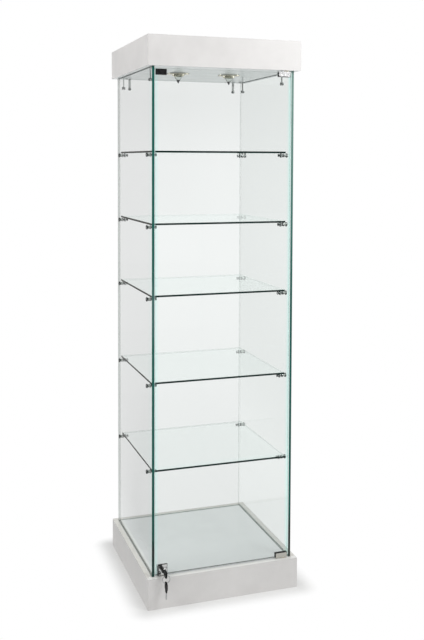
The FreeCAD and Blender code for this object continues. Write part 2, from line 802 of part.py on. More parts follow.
def key_bow(blade):
    flat = about(lock_x, bow_thickness)
    head = box(flat, (bow_end, bow_foot - bow_neck_length), about(lock_z, bow_width))
    head = head.makeFillet(bow_corner, edges_along(head, to_right))
    sides = [f for f in head.Faces if f.normalAt(0, 0).cross(Vector(*to_right)).Length < same_place]
    head = head.makeFillet(bow_edge_round, [e for f in sides for e in f.Edges])
    neck_y = (bow_foot - bow_neck_length - bow_corner, bow_foot)
    neck = box(flat, neck_y, about(lock_z, bow_neck_width))
    neck = neck.makeFillet(bow_edge_round, edges_along(neck, to_back))
    hole = rod(bow_hole_radius, (flat[0], bow_hole_y, lock_z), to_right, bow_thickness)
    return joined([head, neck]).cut(hole).cut(blade)


def keys():
    blade = key_blade()
    bow = key_bow(blade)
    save("key_blade", blade)
    save("key_bow", bow)
    ring_centre = Vector(lock_x, bow_hole_y, ring_z)
    save("key_ring", Part.makeTorus(key_ring_radius, key_ring_wire, ring_centre, Vector(*to_back)))
    hole = Vector(lock_x, bow_hole_y, lock_z)
    for node, piece in (("spare_key_blade", blade), ("spare_key_bow", bow)):
        spare = piece.copy()
        spare.rotate(hole, Vector(1, 0, 0), -90)
        spare.translate(Vector(0, 0, spare_hole_z - lock_z))
        save(node, spare)


os.makedirs("parts", exist_ok=True)
plinth_blocks = plinth()
walls()
shelves()
studs()
canopy_blocks = canopy(brackets())
save("corner_blocks", *plinth_blocks, *canopy_blocks)
lamps()
transformer()
gland()
door()
hinges()
lock()
plug_and_bolt()
keys()
print("case height", case_height)
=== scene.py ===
import json
import math
import bmesh
import bpy
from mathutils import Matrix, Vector


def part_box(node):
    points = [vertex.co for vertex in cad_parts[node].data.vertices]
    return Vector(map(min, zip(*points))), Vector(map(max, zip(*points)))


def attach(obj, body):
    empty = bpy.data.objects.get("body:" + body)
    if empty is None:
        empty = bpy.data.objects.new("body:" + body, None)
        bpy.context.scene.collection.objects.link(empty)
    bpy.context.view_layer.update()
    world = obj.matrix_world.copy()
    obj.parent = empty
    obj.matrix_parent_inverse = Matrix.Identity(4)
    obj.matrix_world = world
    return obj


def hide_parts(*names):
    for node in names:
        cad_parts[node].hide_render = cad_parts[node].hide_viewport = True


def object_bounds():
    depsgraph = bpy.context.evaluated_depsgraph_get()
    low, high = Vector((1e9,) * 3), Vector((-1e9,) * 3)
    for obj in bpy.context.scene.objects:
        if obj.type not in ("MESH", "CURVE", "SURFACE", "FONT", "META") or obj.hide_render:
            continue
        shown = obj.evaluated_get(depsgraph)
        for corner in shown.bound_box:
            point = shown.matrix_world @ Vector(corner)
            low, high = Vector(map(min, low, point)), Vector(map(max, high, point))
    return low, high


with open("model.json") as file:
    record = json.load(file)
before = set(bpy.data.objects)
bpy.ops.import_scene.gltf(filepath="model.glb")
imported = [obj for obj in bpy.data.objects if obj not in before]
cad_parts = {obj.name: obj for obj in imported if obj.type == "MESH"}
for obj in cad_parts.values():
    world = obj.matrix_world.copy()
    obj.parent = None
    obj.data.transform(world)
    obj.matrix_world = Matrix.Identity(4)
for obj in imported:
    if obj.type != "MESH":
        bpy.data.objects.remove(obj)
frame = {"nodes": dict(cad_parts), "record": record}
cadLow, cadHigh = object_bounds()
nodes = frame["nodes"]
scene = bpy.context.scene
mm = 0.001
print("case loaded,", len(nodes), "nodes")

# camera: three-quarter view from the left at chest height, with the lens shifted down
view = {
    "lensMm": 50.2,
    "sensorMm": 36.0,
    "place": (-0.952, -2.911, 1.413),
    "tiltDeg": -2.82,
    "rollDeg": -0.193,
    "turnDeg": -18.80,
    "shiftDown": 0.1797,
}
cameraData = bpy.data.cameras.new("camera")
cameraData.lens = view["lensMm"]
cameraData.sensor_width = view["sensorMm"]
cameraData.shift_y = -view["shiftDown"]
camera = bpy.data.objects.new("camera", cameraData)
camera.location = view["place"]
camera.rotation_euler = (
    math.radians(90 + view["tiltDeg"]), math.radians(view["rollDeg"]), math.radians(view["turnDeg"]))
scene.collection.objects.link(camera)
scene.camera = camera
scene.view_settings.view_transform = "Standard"
scene.cycles.transparent_max_bounces = 64  # a look through all shelves crosses many panes


def addNode(tree, kind, **settings):
    node = tree.nodes.new(kind)
    for key, value in settings.items():
        setattr(node, key, value)
    return node


def feed(tree, socket, value):
    if isinstance(value, bpy.types.NodeSocket):
        tree.links.new(value, socket)
    elif value is not None:
        socket.default_value = value


def calc(tree, operation, first, second=None, clamp=False):
    node = addNode(tree, "ShaderNodeMath", operation=operation, use_clamp=clamp)
    feed(tree, node.inputs[0], first)
    feed(tree, node.inputs[1], second)
    return node.outputs[0]


def blendColour(tree, factor, first, second, way="MIX"):
    node = addNode(tree, "ShaderNodeMix", data_type="RGBA", blend_type=way)
    feed(tree, node.inputs[0], factor)
    feed(tree, node.inputs[6], first)
    feed(tree, node.inputs[7], second)
    return node.outputs[2]


def spread(tree, value, low, high, fromLow=0.0, fromHigh=1.0):
    node = addNode(tree, "ShaderNodeMapRange")
    for socket, number in zip(node.inputs, (value, fromLow, fromHigh, low, high)):
        feed(tree, socket, number)
    return node.outputs[0]


def axes(tree, vector):
    node = addNode(tree, "ShaderNodeSeparateXYZ")
    tree.links.new(vector, node.inputs[0])
    return node.outputs


def speckle(tree, coords, scale, detail=3.0, stretch=None):
    if stretch:
        turn = addNode(tree, "ShaderNodeMapping")
        turn.inputs["Scale"].default_value = stretch
        tree.links.new(coords, turn.inputs["Vector"])
        coords = turn.outputs[0]
    node = addNode(tree, "ShaderNodeTexNoise")
    tree.links.new(coords, node.inputs["Vector"])
    node.inputs["Scale"].default_value = scale
    node.inputs["Detail"].default_value = detail
    return node.outputs["Fac"]


def mixShader(tree, factor, first, second):
    node = addNode(tree, "ShaderNodeMixShader")
    feed(tree, node.inputs[0], factor)
    tree.links.new(first, node.inputs[1])
    tree.links.new(second, node.inputs[2])
    return node.outputs[0]


def emptyMaterial(name):
    material = bpy.data.materials.new(name)
    material.use_nodes = True
    material.node_tree.nodes.clear()
    return material, material.node_tree


def finishTree(tree, shader):
    out = addNode(tree, "ShaderNodeOutputMaterial")
    tree.links.new(shader, out.inputs["Surface"])


# studio: white surround, pale floor, a soft key lamp at the right and a larger fill lamp at the left
studio = {
    "ambient": 0.635,
    "sideGrey": 0.22,
    "sideFrom": (-0.3, 0.0),
    "frontGrey": 0.10,
    "frontFrom": (0.2, 0.7),
    "floorFrontGrey": 0.7,
    "cardLevel": 0.5,
    "cardFrom": (0.28, 0.33),
    "backLights": ((0.995, -0.03, -0.1), (-0.784, 0.613, -0.1)),
    "backLightFrom": (0.968, 0.982),
    "backLightLevel": 6.0,
    "backLightGap": (2.0, 2.5),
    "floorFall": 0.3,
    "floorSize": 40.0,
    "floorColour": (0.88, 0.88, 0.87, 1.0),
    "floorWhite": (0.22, 1.0),
    "floorNear": (0.0, 0.078),
    "footprint": 0.255,
    "keyPlace": (1.2, -1.6, 2.3),
    "keyAim": (0.0, -0.2, 1.5),
    "keySize": 0.9,
    "keyWatts": 19.3,
    "fillPlace": (-2.25, -0.75, 2.3),
    "fillAim": (0.0, 0.0, 1.3),
    "fillSize": 1.4,
    "fillWatts": 17.0,
}


def seenRay(tree):
    path = addNode(tree, "ShaderNodeLightPath")
    mirrored = calc(tree, "MAXIMUM", path.outputs["Is Glossy Ray"], path.outputs["Is Transmission Ray"])
    return path.outputs["Is Camera Ray"], mirrored, calc(
        tree, "MAXIMUM", path.outputs["Is Camera Ray"], mirrored)


def mirroredLight(tree, direction, frontGrey, patchShare=1.0):
    # greyer to the left, dark in front but for a white card at the right, two bright patches at the back
    sides = spread(tree, direction[0], studio["sideGrey"], 1.0, *studio["sideFrom"])
    front = spread(tree, direction[1], frontGrey, 1.0, *studio["frontFrom"])
    card = spread(tree, direction[0], 0.0, studio["cardLevel"], *studio["cardFrom"])
    level = calc(tree, "MULTIPLY", sides, calc(tree, "MAXIMUM", front, card))
    for aim in studio["backLights"]:
        shares = [calc(tree, "MULTIPLY", side, part) for side, part in zip(direction, aim)]
        along = calc(tree, "ADD", calc(tree, "ADD", *shares[:2]), shares[2])
        patch = spread(tree, along, 0.0, studio["backLightLevel"], *studio["backLightFrom"])
        level = calc(tree, "ADD", level, calc(tree, "MULTIPLY", patch, patchShare))
    return level


def makeSurround():
    world = bpy.data.worlds.new("surround")
    world.use_nodes = True
    tree = world.node_tree
    tree.nodes.clear()
    straight, mirrored = seenRay(tree)[:2]
    coords = addNode(tree, "ShaderNodeTexCoord")
    level = mirroredLight(tree, axes(tree, coords.outputs["Generated"]), studio["frontGrey"])
    ambient = addNode(tree, "ShaderNodeBackground")
    ambient.inputs["Strength"].default_value = studio["ambient"]
    white = addNode(tree, "ShaderNodeBackground")
    mirror = addNode(tree, "ShaderNodeBackground")
    white.inputs["Color"].default_value = mirror.inputs["Color"].default_value = (1, 1, 1, 1)
    tree.links.new(level, mirror.inputs["Strength"])
    lit = mixShader(tree, mirrored, ambient.outputs[0], mirror.outputs[0])
    out = addNode(tree, "ShaderNodeOutputWorld")
    tree.links.new(mixShader(tree, straight, lit, white.outputs[0]), out.inputs["Surface"])
    scene.world = world


def makeFloor():
    half = studio["floorSize"] / 2
    mesh = bpy.data.meshes.new("floor")
    corners = [(-half, -half, 0), (half, -half, 0), (half, half, 0), (-half, half, 0)]
    mesh.from_pydata(corners, [], [(0, 1, 2, 3)])
    floor = bpy.data.objects.new("floor", mesh)
    scene.collection.objects.link(floor)
    material, tree = emptyMaterial("paleFloor")
    mirrored, seen = seenRay(tree)[1:]
    place = axes(tree, addNode(tree, "ShaderNodeTexCoord").outputs["Object"])
    sides = [calc(tree, "ABSOLUTE", side) for side in place[:2]]
    off = [calc(tree, "MAXIMUM", calc(tree, "SUBTRACT", side, studio["footprint"]), 0.0) for side in sides]
    gap = calc(tree, "SQRT", calc(tree, "ADD", *[calc(tree, "MULTIPLY", side, side) for side in off]))
    white = addNode(tree, "ShaderNodeMapRange", interpolation_type="SMOOTHSTEP")
    for socket, number in zip(white.inputs, (gap, *studio["floorNear"], *studio["floorWhite"])):
        feed(tree, socket, number)
    matt = addNode(tree, "ShaderNodeBsdfDiffuse")
    matt.inputs["Color"].default_value = studio["floorColour"]
    glow = addNode(tree, "ShaderNodeEmission")
    far = calc(tree, "SQRT", calc(tree, "ADD", calc(tree, "MULTIPLY", gap, gap), studio["floorFall"] ** 2))
    flat = [calc(tree, "DIVIDE", calc(tree, "MULTIPLY", reach, calc(tree, "SIGN", side)), far)
            for reach, side in zip(off, place)]
    down = calc(tree, "DIVIDE", -studio["floorFall"], far)
    patchShare = spread(tree, gap, 0.0, 1.0, *studio["backLightGap"])
    level = mirroredLight(tree, flat + [down], studio["floorFrontGrey"], patchShare)
    tree.links.new(spread(tree, mirrored, 1.0, level), glow.inputs["Strength"])
    share = calc(tree, "MULTIPLY", seen, white.outputs[0])  # pure white away from the plinth's shadow
    finishTree(tree, mixShader(tree, share, matt.outputs[0], glow.outputs[0]))
    mesh.materials.append(material)


def makeLamp(name, place, aim, size, watts):
    data = bpy.data.lights.new(name, "AREA")
    data.shape = "DISK"
    data.size = size
    data.energy = watts
    lamp = bpy.data.objects.new(name, data)
    lamp.location = place
    lamp.rotation_euler = (Vector(aim) - Vector(place)).to_track_quat("-Z", "Y").to_euler()
    lamp.visible_camera = False
    scene.collection.objects.link(lamp)


makeSurround()
makeFloor()
for role in ("key", "fill"):
    makeLamp(role + "Lamp", *[studio[role + part] for part in ("Place", "Aim", "Size", "Watts")])
print("studio ready")


cloudBand, grainBand = (0.3, 0.7), (0.25, 0.75)  # where most of the noise lies


def surface(name, look):
    material, tree = emptyMaterial(name)
    coords = addNode(tree, "ShaderNodeTexCoord").outputs["Object"]
    stretch = look.get("stretch")
    cloud = speckle(tree, coords, look["cloud"], 4.0, stretch)
    grain = speckle(tree, coords, look["grain"], 2.0, stretch)
    shader = addNode(tree, "ShaderNodeBsdfPrincipled")
    shader.inputs["Metallic"].default_value = look.get("metal", 0.0)
    shader.inputs["IOR"].default_value = look.get("ior", 1.5)
    colour = blendColour(tree, spread(tree, cloud, 0.0, 1.0, *cloudBand), look["dark"], look["light"])
    tree.links.new(colour, shader.inputs["Base Color"])
    tree.links.new(spread(tree, grain, *look["rough"], *grainBand), shader.inputs["Roughness"])
    bump = addNode(tree, "ShaderNodeBump")
    bump.inputs["Strength"].default_value = look.get("bumpStrength", 0.3)
    bump.inputs["Distance"].default_value = look["bump"] * mm
    tree.links.new(grain, bump.inputs["Height"])
    tree.links.new(bump.outputs[0], shader.inputs["Normal"])
    finishTree(tree, shader.outputs[0])
    return material


finishes = {
    "raw_board": {
        "dark": (0.30, 0.20, 0.11, 1), "light": (0.58, 0.43, 0.27, 1), "cloud": 240, "grain": 520,
        "rough": (0.75, 0.95), "bump": 0.5, "bumpStrength": 0.6},
    "dark_seal": {
        "dark": (0.035, 0.037, 0.036, 1), "light": (0.07, 0.073, 0.07, 1), "cloud": 90, "grain": 900,
        "rough": (0.55, 0.75), "bump": 0.08},
    "pale_seal": {
        "dark": (0.62, 0.64, 0.62, 1), "light": (0.78, 0.80, 0.78, 1), "cloud": 120, "grain": 900,
        "rough": (0.4, 0.6), "bump": 0.05},
    # polished chrome kept dark: painted shade for the dark surroundings that the studs, caps, knobs and
    # screws reflect
    "polished_chrome": {
        "dark": (0.15, 0.157, 0.157, 1), "light": (0.24, 0.248, 0.248, 1), "cloud": 130, "grain": 700,
        "rough": (0.07, 0.16), "bump": 0.01, "metal": 1.0},
    # a lighter copy of the same chrome for the lock and the canopy brackets: painted light
    "brightChrome": {
        "dark": (0.64, 0.65, 0.64, 1), "light": (0.78, 0.79, 0.78, 1), "cloud": 150, "grain": 700,
        "rough": (0.05, 0.12), "bump": 0.01, "metal": 1.0},
    "nylon": {
        "dark": (0.72, 0.72, 0.68, 1), "light": (0.82, 0.82, 0.79, 1), "cloud": 200, "grain": 800,
        "rough": (0.35, 0.5), "bump": 0.03},
    "clear_rubber": {
        "dark": (0.42, 0.45, 0.44, 1), "light": (0.60, 0.63, 0.62, 1), "cloud": 220, "grain": 900,
        "rough": (0.3, 0.45), "bump": 0.03},
    "bronzed_metal": {
        "dark": (0.38, 0.36, 0.28, 1), "light": (0.60, 0.58, 0.49, 1), "cloud": 60, "grain": 600,
        "rough": (0.12, 0.2), "bump": 0.01, "metal": 1.0},
    "dark_metal": {
        "dark": (0.07, 0.072, 0.075, 1), "light": (0.15, 0.15, 0.155, 1), "cloud": 160, "grain": 700,
        "rough": (0.25, 0.4), "bump": 0.02, "metal": 1.0},
    "bare_aluminium": {
        "dark": (0.58, 0.59, 0.60, 1), "light": (0.72, 0.72, 0.73, 1), "cloud": 60, "grain": 500,
        "rough": (0.28, 0.42), "bump": 0.03, "metal": 1.0, "stretch": (1, 1, 0.08)},
    "ceramic": {
        "dark": (0.72, 0.70, 0.64, 1), "light": (0.84, 0.83, 0.78, 1), "cloud": 120, "grain": 700,
        "rough": (0.45, 0.6), "bump": 0.05},
    "transformer_housing": {
        "dark": (0.62, 0.63, 0.64, 1), "light": (0.72, 0.73, 0.74, 1), "cloud": 40,
        "grain": 1100, "rough": (0.45, 0.6), "bump": 0.08},
    "lead_insulation": {
        "dark": (0.70, 0.70, 0.68, 1), "light": (0.80, 0.80, 0.78, 1), "cloud": 80, "grain": 900,
        "rough": (0.4, 0.55), "bump": 0.04},
    "black_plastic": {
        "dark": (0.012, 0.012, 0.013, 1), "light": (0.03, 0.03, 0.031, 1), "cloud": 120,
        "grain": 1400, "rough": (0.3, 0.48), "bump": 0.04, "ior": 1.15},
    "turned_brass": {
        "dark": (0.60, 0.44, 0.18, 1), "light": (0.78, 0.61, 0.30, 1), "cloud": 160, "grain": 900,
        "rough": (0.2, 0.35), "bump": 0.02, "metal": 1.0, "stretch": (0.1, 0.1, 1)},
    "plain_steel": {
        "dark": (0.42, 0.43, 0.44, 1), "light": (0.60, 0.61, 0.62, 1), "cloud": 110, "grain": 800,
        "rough": (0.22, 0.36), "bump": 0.02, "metal": 1.0},
    # a lighter copy of satin nickel for the upper hinge clamp: painted light
    "brightNickel": {
        "dark": (0.86, 0.86, 0.86, 1), "light": (0.97, 0.97, 0.98, 1), "cloud": 90, "grain": 500,
        "rough": (0.10, 0.2), "bump": 0.02, "metal": 1.0, "stretch": (0.05, 1, 1)},
    "satin_nickel": {
        "dark": (0.54, 0.525, 0.48, 1), "light": (0.66, 0.65, 0.60, 1), "cloud": 90, "grain": 500,
        "rough": (0.08, 0.15), "bump": 0.03, "metal": 1.0, "stretch": (0.05, 1, 1)},
}
materials = {slot: surface(slot, look) for slot, look in finishes.items()}
# dark line painted round the lock plate's face: painted shade and reflection
paintedPlateEdge = {"edge": (0.07, 0.068, 0.064, 1), "edgeMm": (1.0, 1.9)}


def lockPlateFinish():
    # bright chrome with a dark line painted all round its face: painted shade and reflection, standing in for
    # the dark its bevel reflects and the shadow line round the plate
    material = surface("lock_front_plate", finishes["brightChrome"])
    tree = material.node_tree
    place = axes(tree, addNode(tree, "ShaderNodeTexCoord").outputs["Object"])
    plateLow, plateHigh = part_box("lock_front_plate")
    margin = None
    for axis in (0, 2):
        middle, half = (plateLow[axis] + plateHigh[axis]) / 2, (plateHigh[axis] - plateLow[axis]) / 2
        off = calc(tree, "ABSOLUTE", calc(tree, "SUBTRACT", place[axis], middle))
        inside = calc(tree, "SUBTRACT", half, off)
        margin = inside if margin is None else calc(tree, "MINIMUM", margin, inside)
    # painted shade and reflection in a band round the face
    rim = spread(tree, margin, 1.0, 0.0, *[edge * mm for edge in paintedPlateEdge["edgeMm"]])
    shader = tree.nodes["Principled BSDF"]
    plain = shader.inputs["Base Color"].links[0].from_socket
    tree.links.new(blendColour(tree, rim, plain, paintedPlateEdge["edge"]), shader.inputs["Base Color"])
    return material


materials["lock_front_plate"] = lockPlateFinish()

# laminate tones: the inner copy is painted light (the floor inside lighter and greener), the ceiling copy
# painted shade, the plinth top's front rim painted light and its side rims painted shade
laminate = {
    "shade": (0.815, 0.80, 0.79, 1),
    "white": (0.87, 0.855, 0.845, 1),
    "innerShade": (0.92, 0.935, 0.935, 1),
    "innerWhite": (0.96, 0.975, 0.975, 1),
    "ceilingShade": (0.795, 0.815, 0.825, 1),
    "ceilingWhite": (0.835, 0.855, 0.865, 1),
    "shadedSideRim": (0.87, 0.835, 0.79, 1),
    "frontRim": (1.0, 0.985, 0.96, 1),
    "paintedFrontShade": (0.83, 0.845, 0.845, 1),
    "paintedFrontShadeFrom": (-0.235, -0.06),
    "rimFrom": 0.238,
    "seamColour": (0.56, 0.55, 0.53, 1),
    "seamMm": 0.7,
    "seamShare": 0.5,
    "corner": cadHigh.x,
    "outerFrom": 0.2545,
    "levels": (0.0, 0.098, 1.705, 1.8),
    "cloud": 14.0,
    "pearl": 1500.0,
    "pearlStrength": 0.15,
    "pearlMm": 0.05,
    "outerRough": (0.34, 0.5),
    "innerRough": (0.12, 0.2),
    "ceilingRough": (0.2, 0.27),
    "coverRough": (0.6, 0.75),
    "coverShade": (0.80, 0.79, 0.78, 1),
    "coverWhite": (0.86, 0.85, 0.84, 1),
    "coverGloss": 0.08,
}


def laminateFinish(name, rough, shade, white, gloss=0.5):
    material, tree = emptyMaterial(name)
    coords = addNode(tree, "ShaderNodeTexCoord").outputs["Object"]
    x, y, z = axes(tree, coords)
    near = laminate["seamMm"] * mm
    sides = [calc(tree, "ABSOLUTE", side) for side in (x, y)]
    outward = calc(tree, "MAXIMUM", *sides)
    seam = calc(tree, "GREATER_THAN", calc(tree, "MINIMUM", *sides), laminate["corner"] - near)
    outer = calc(tree, "GREATER_THAN", outward, laminate["outerFrom"])
    for level in laminate["levels"]:
        off = calc(tree, "ABSOLUTE", calc(tree, "SUBTRACT", z, level))
        atEdge = calc(tree, "MULTIPLY", outer, calc(tree, "LESS_THAN", off, near))
        seam = calc(tree, "MAXIMUM", seam, atEdge)
    cloud = speckle(tree, coords, laminate["cloud"], 4.0)
    pearl = speckle(tree, coords, laminate["pearl"], 2.0)
    shader = addNode(tree, "ShaderNodeBsdfPrincipled")
    body = blendColour(tree, spread(tree, cloud, 0.0, 1.0, *cloudBand), shade, white)
    # plinth top: painted shade darkens the floor inside towards the front; the exposed rim is painted lighter
    # at the front (painted light) and darker along the sides (painted shade)
    if name == "plinth_top_board":
        frontShadeShare = spread(tree, y, 1.0, 0.0, *laminate["paintedFrontShadeFrom"])
        body = blendColour(tree, frontShadeShare, body, laminate["paintedFrontShade"])
        front = calc(tree, "LESS_THAN", y, -laminate["rimFrom"])
        rim = blendColour(tree, front, laminate["shadedSideRim"], laminate["frontRim"])
        body = blendColour(tree, calc(tree, "GREATER_THAN", outward, laminate["rimFrom"]), body, rim)
    shader.inputs["Specular IOR Level"].default_value = gloss
    faint = calc(tree, "MULTIPLY", seam, laminate["seamShare"])
    tree.links.new(blendColour(tree, faint, body, laminate["seamColour"]), shader.inputs["Base Color"])
    tree.links.new(spread(tree, cloud, *rough, *cloudBand), shader.inputs["Roughness"])
    bump = addNode(tree, "ShaderNodeBump")
    bump.inputs["Strength"].default_value = laminate["pearlStrength"]
    bump.inputs["Distance"].default_value = laminate["pearlMm"] * mm
    tree.links.new(pearl, bump.inputs["Height"])
    tree.links.new(bump.outputs[0], shader.inputs["Normal"])
    finishTree(tree, shader.outputs[0])
    return material


materials["white_laminate"] = laminateFinish(
    "white_laminate", laminate["outerRough"], laminate["shade"], laminate["white"])
# the plinth top inside is a lighter, greener copy (painted light) and the ceiling a darker copy (painted
# shade)
for board, part in (("plinth_top_board", "inner"), ("canopy_ceiling_board", "ceiling")):
    materials[board] = laminateFinish(
        board, *[laminate[part + role] for role in ("Rough", "Shade", "White")])
materials["canopy_top_board"] = laminateFinish(
    "canopy_top_board", *[laminate["cover" + role] for role in ("Rough", "Shade", "White", "Gloss")])

# panes: axis across the glass, colours of the front edge from foot to head, and of the other edges; the
# lighter and darker bands in the front ramps, the pale rest edges and the door's pale side edges are painted
# light and reflection over the glass's own green, and the dark level edges are painted shade
# fringe: axis, edge, way into the glass and reach in mm
deepGreen = (0.010, 0.140, 0.107, 1)
doorLow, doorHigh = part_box("door_glass")
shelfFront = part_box("glass_shelf_1")[0].y
# a fainter painted shade by height, for the left wall and the shelves
fainterShadeByHeight = ((0.0, 0.992), (0.5, 0.998), (1.0, 0.996))
panes = {
    "left_glass_wall": {
        "across": 0, "rest": (0.55, 0.60, 0.57, 1), "restSolid": 0.6, "paintedShadeByHeight": fainterShadeByHeight,
        "fringe": ((1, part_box("left_glass_wall")[0].y, 1.0, 60.0),), "fringeTint": (0.955, 1.0, 0.99, 1),
        "grazeTint": (1.0, 1.0, 1.0, 1),
        "level": (0.03, 0.042, 0.038, 1), "levelSolid": 0.95, "levelSide": 1.0,
        "front": ((0.0, (0.012, 0.072, 0.055, 1)), (0.03, (0.012, 0.05, 0.042, 1)),
                  (0.055, (0.010, 0.018, 0.016, 1)), (0.085, (0.006, 0.10, 0.076, 1)),
                  (0.25, (0.008, 0.128, 0.098, 1)), (0.46, deepGreen), (0.50, (0.055, 0.175, 0.155, 1)),
                  (0.56, (0.07, 0.185, 0.165, 1)), (0.60, deepGreen), (1.0, deepGreen))},
    "right_glass_wall": {
        "across": 0, "rest": (0.80, 0.85, 0.82, 1), "restSolid": 0.14,
        "fringe": ((1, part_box("right_glass_wall")[0].y, 1.0, 22.0),),
        "level": (0.02, 0.03, 0.03, 1), "levelSolid": 0.95, "levelSide": 1.0,
        "front": ((0.0, (0.04, 0.06, 0.052, 1)), (0.06, (0.02, 0.028, 0.025, 1)),
                  (0.10, (0.017, 0.12, 0.10, 1)), (0.55, (0.020, 0.128, 0.105, 1)),
                  (0.72, (0.085, 0.22, 0.19, 1)), (0.95, (0.21, 0.35, 0.31, 1)))},
    "back_glass_wall": {
        "across": 1, "rest": (0.80, 0.85, 0.82, 1), "restSolid": 0.14,
        "paintedShadeByHeight": ((0.0, 0.945), (0.28, 0.965), (0.45, 0.978), (0.65, 0.984), (0.82, 0.981), (0.95, 0.956))},
    "door_glass": {
        "across": 1, "rest": (0.45, 0.55, 0.52, 1), "restSolid": 0.35,
        "fringe": ((0, doorLow.x, 1.0, 12.0), (0, doorHigh.x, -1.0, 12.0)),
        "left": (0.80, 0.98, 0.96, 1), "leftSolid": 0.75, "right": (0.80, 0.98, 0.96, 1), "rightSolid": 0.75,
        "level": (0.10, 0.11, 0.105, 1), "levelSolid": 0.8, "levelSide": -1.0},
    "shelf": {
        "across": 2, "rest": (0.65, 0.72, 0.69, 1), "restSolid": 0.35, "paintedShadeByHeight": fainterShadeByHeight, "edgeGloss": 0.0,
        "grazeTint": (0.985, 1.0, 0.995, 1), "mirrorTint": (0.965, 1.0, 0.99, 1), "mirrorIor": 1.8,
        "fringe": ((1, shelfFront, 1.0, 45.0),), "fringeTint": (0.945, 1.0, 0.99, 1),
        "left": (0.014, 0.016, 0.006, 1), "leftSolid": 1.0, "right": (0.6, 0.65, 0.62, 1), "rightSolid": 0.25,
        "front": ((0.0, (0.002, 0.022, 0.018, 1)), (1.0, (0.002, 0.022, 0.018, 1)))},
}
glassLook = {
    "tint": (0.988, 0.994, 0.992, 1),
    "grazeTint": (0.966, 0.982, 0.975, 1),
    "fringeTint": (0.87, 1.0, 0.98, 1),
    "castTint": (0.985, 1.0, 0.996, 1),
    "paintedShadeByHeight": ((0.0, 0.963), (0.28, 0.981), (0.45, 0.988), (0.65, 0.993), (0.82, 0.988), (0.95, 0.978)),
    "span": (0.093, 1.705),
    "mirrorIor": 1.40,
    "mirrorRough": 0.02,
    "mirrorTint": (1, 1, 1, 1),
    "edgeUpTo": 0.95,
    "edgeRough": 0.22,
    "edgeGloss": 0.25,
    "grit": 260.0,
    "gritShare": 0.35,
    "gritGrey": (0.5, 0.5, 0.5, 1),
}


def colourRamp(tree, stops):
    ramp = addNode(tree, "ShaderNodeValToRGB")
    while len(ramp.color_ramp.elements) < len(stops):
        ramp.color_ramp.elements.new(0.5)
    for element, (at, colour) in zip(ramp.color_ramp.elements, stops):
        element.position = at
        element.color = colour
    return ramp


